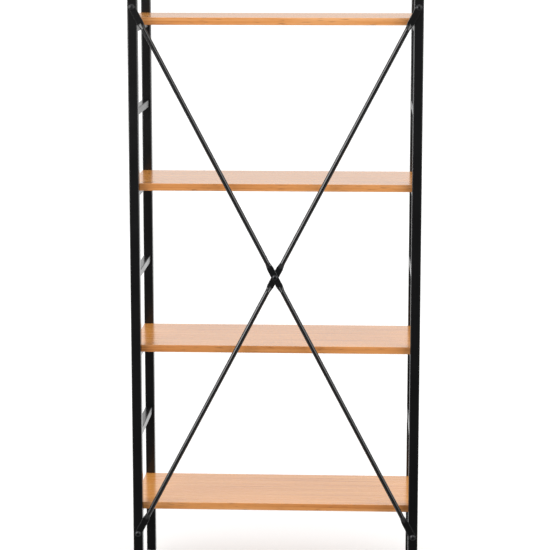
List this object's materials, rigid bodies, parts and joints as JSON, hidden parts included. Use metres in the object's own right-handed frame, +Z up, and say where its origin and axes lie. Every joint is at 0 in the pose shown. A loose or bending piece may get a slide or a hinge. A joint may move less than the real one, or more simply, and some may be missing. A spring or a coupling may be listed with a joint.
{
  "type": "industrial bookcase",
  "caption": "Open bookcase of black square-tube ladder frames and wood-finish boards, cross-braced at the rear with flattened tubes, on screw-in levelling feet.",
  "frame": {"origin": "on the floor, in the middle of the overall width and depth", "axes": "+Z up; -Y is the braced rear side; +X is the right as seen from that side"},
  "size_m": [0.6, 0.276, 1.3735],
  "materials": {
    "frame_powder_coat": "satin black powder coat",
    "board_wood": "satin wood-grain foil on particle board",
    "board_edge": "satin wood-grain edge band",
    "black_fastener": "black-coated steel",
    "zinc_steel": "zinc-plated steel",
    "moulded_black": "moulded black plastic"
  },
  "bodies": {
    "bookcase": {"brace_bar_inner": "frame_powder_coat", "brace_bar_outer": "frame_powder_coat", "brace_bolts": "black_fastener", "brace_crossing_bolt": "black_fastener", "brace_crossing_nut": "black_fastener", "brace_rivet_nuts": "zinc_steel", "left_front_foot_plug": "moulded_black", "left_front_post": "frame_powder_coat", "left_front_post_cap": "moulded_black", "left_guard_rail_1": "frame_powder_coat", "left_guard_rail_2": "frame_powder_coat", "left_guard_rail_3": "frame_powder_coat", "left_guard_rail_4": "frame_powder_coat", "left_rear_foot_plug": "moulded_black", "left_rear_post": "frame_powder_coat", "left_rear_post_cap": "moulded_black", "left_shelf_rail_1": "frame_powder_coat", "left_shelf_rail_2": "frame_powder_coat", "left_shelf_rail_3": "frame_powder_coat", "left_shelf_rail_4": "frame_powder_coat", "right_front_foot_plug": "moulded_black", "right_front_post": "frame_powder_coat", "right_front_post_cap": "moulded_black", "right_guard_rail_1": "frame_powder_coat", "right_guard_rail_2": "frame_powder_coat", "right_guard_rail_3": "frame_powder_coat", "right_guard_rail_4": "frame_powder_coat", "right_rear_foot_plug": "moulded_black", "right_rear_post": "frame_powder_coat", "right_rear_post_cap": "moulded_black", "right_shelf_rail_1": "frame_powder_coat", "right_shelf_rail_2": "frame_powder_coat", "right_shelf_rail_3": "frame_powder_coat", "right_shelf_rail_4": "frame_powder_coat", "shelf_board_1": "board_wood", "shelf_board_2": "board_wood", "shelf_board_3": "board_wood", "shelf_board_4": "board_wood", "shelf_edge_bands_1": "board_edge", "shelf_edge_bands_2": "board_edge", "shelf_edge_bands_3": "board_edge", "shelf_edge_bands_4": "board_edge", "shelf_screws_1": "black_fastener", "shelf_screws_2": "black_fastener", "shelf_screws_3": "black_fastener", "shelf_screws_4": "black_fastener"},
    "left_rear_levelling_foot": {"left_rear_foot": "moulded_black", "left_rear_foot_stem": "zinc_steel"},
    "left_front_levelling_foot": {"left_front_foot": "moulded_black", "left_front_foot_stem": "zinc_steel"},
    "right_rear_levelling_foot": {"right_rear_foot": "moulded_black", "right_rear_foot_stem": "zinc_steel"},
    "right_front_levelling_foot": {"right_front_foot": "moulded_black", "right_front_foot_stem": "zinc_steel"}
  },
  "joints": [
    {"name": "left_rear_foot_travel", "type": "slide", "parent": "bookcase", "child": "left_rear_levelling_foot", "axis": [0, 0, 1], "range_m": [0, 0.01]},
    {"name": "left_front_foot_travel", "type": "slide", "parent": "bookcase", "child": "left_front_levelling_foot", "axis": [0, 0, 1], "range_m": [0, 0.01]},
    {"name": "right_rear_foot_travel", "type": "slide", "parent": "bookcase", "child": "right_rear_levelling_foot", "axis": [0, 0, 1], "range_m": [0, 0.01]},
    {"name": "right_front_foot_travel", "type": "slide", "parent": "bookcase", "child": "right_front_levelling_foot", "axis": [0, 0, 1], "range_m": [0, 0.01]}
  ]
}
